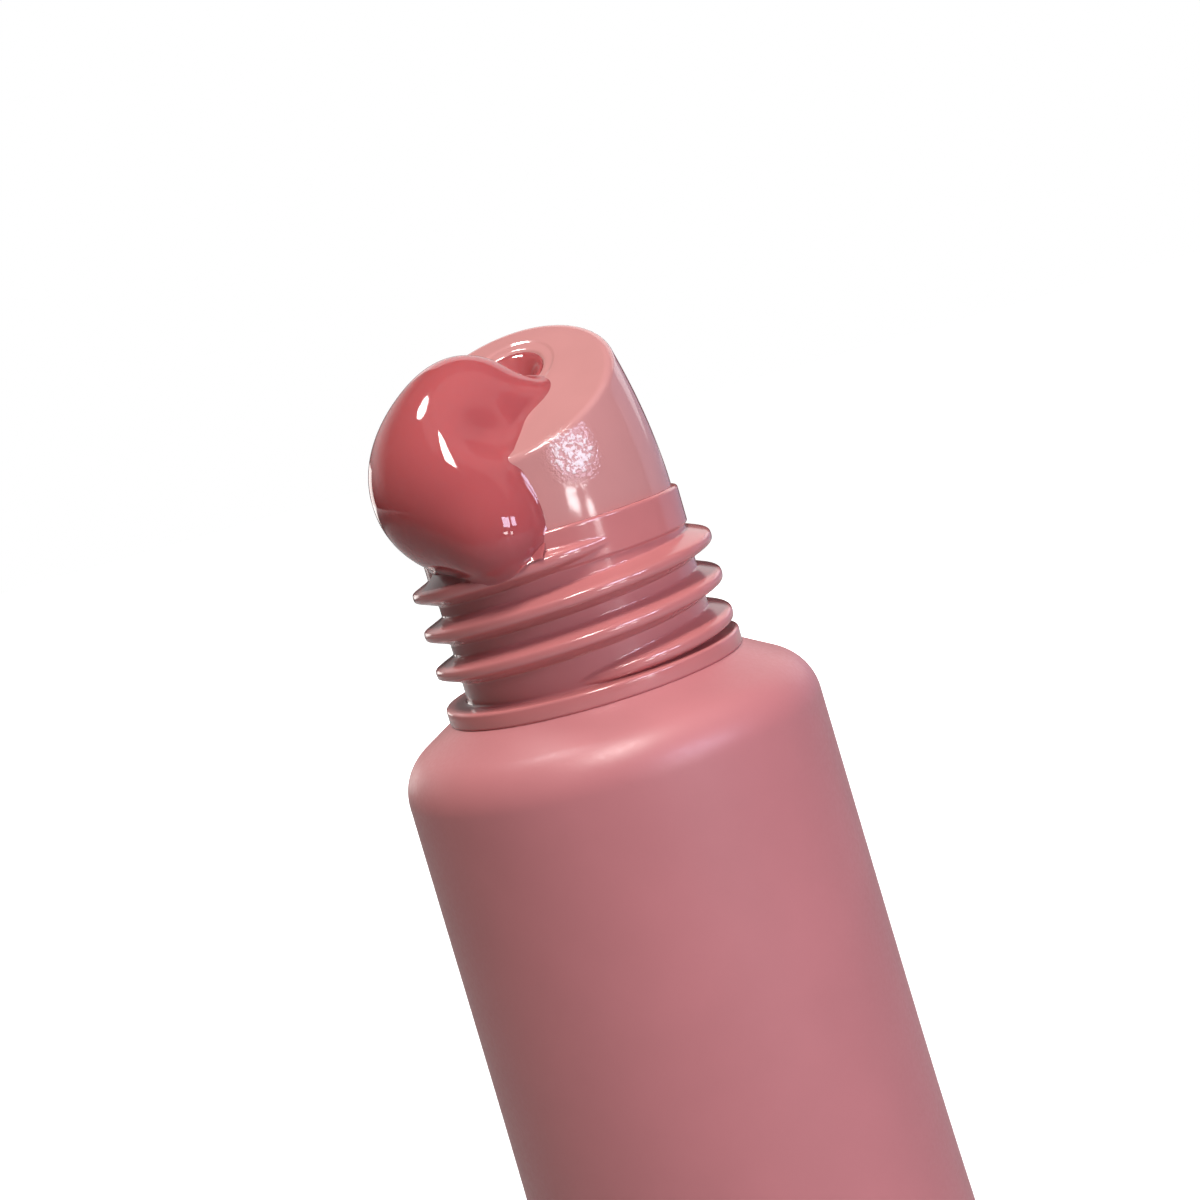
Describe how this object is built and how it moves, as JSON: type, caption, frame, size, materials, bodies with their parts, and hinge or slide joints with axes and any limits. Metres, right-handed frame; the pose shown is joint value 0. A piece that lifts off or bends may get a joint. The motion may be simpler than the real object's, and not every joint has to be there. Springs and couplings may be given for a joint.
{
  "type": "lip balm tube",
  "caption": "Open squeeze tube for lip balm with a flat sealed foot, a threaded neck, a slanted applicator tip and a bead of balm hanging from it.",
  "frame": {"origin": "middle of the sealed edge at the tube's foot", "axes": "+Z along the tube's axis towards the tip, +X along the seal's width, and the tip's slanted face looks up and towards -Y"},
  "size_m": [0.0296, 0.019, 0.081],
  "materials": {
    "sleeve": "satin",
    "head": "gloss",
    "tip": "gloss",
    "balm": "wet gloss"
  },
  "bodies": {
    "root": {"tube_sleeve": "sleeve", "tube_head": "head", "applicator_tip": "tip", "balm_fill": "balm", "balm_bead": "balm"}
  },
  "joints": []
}
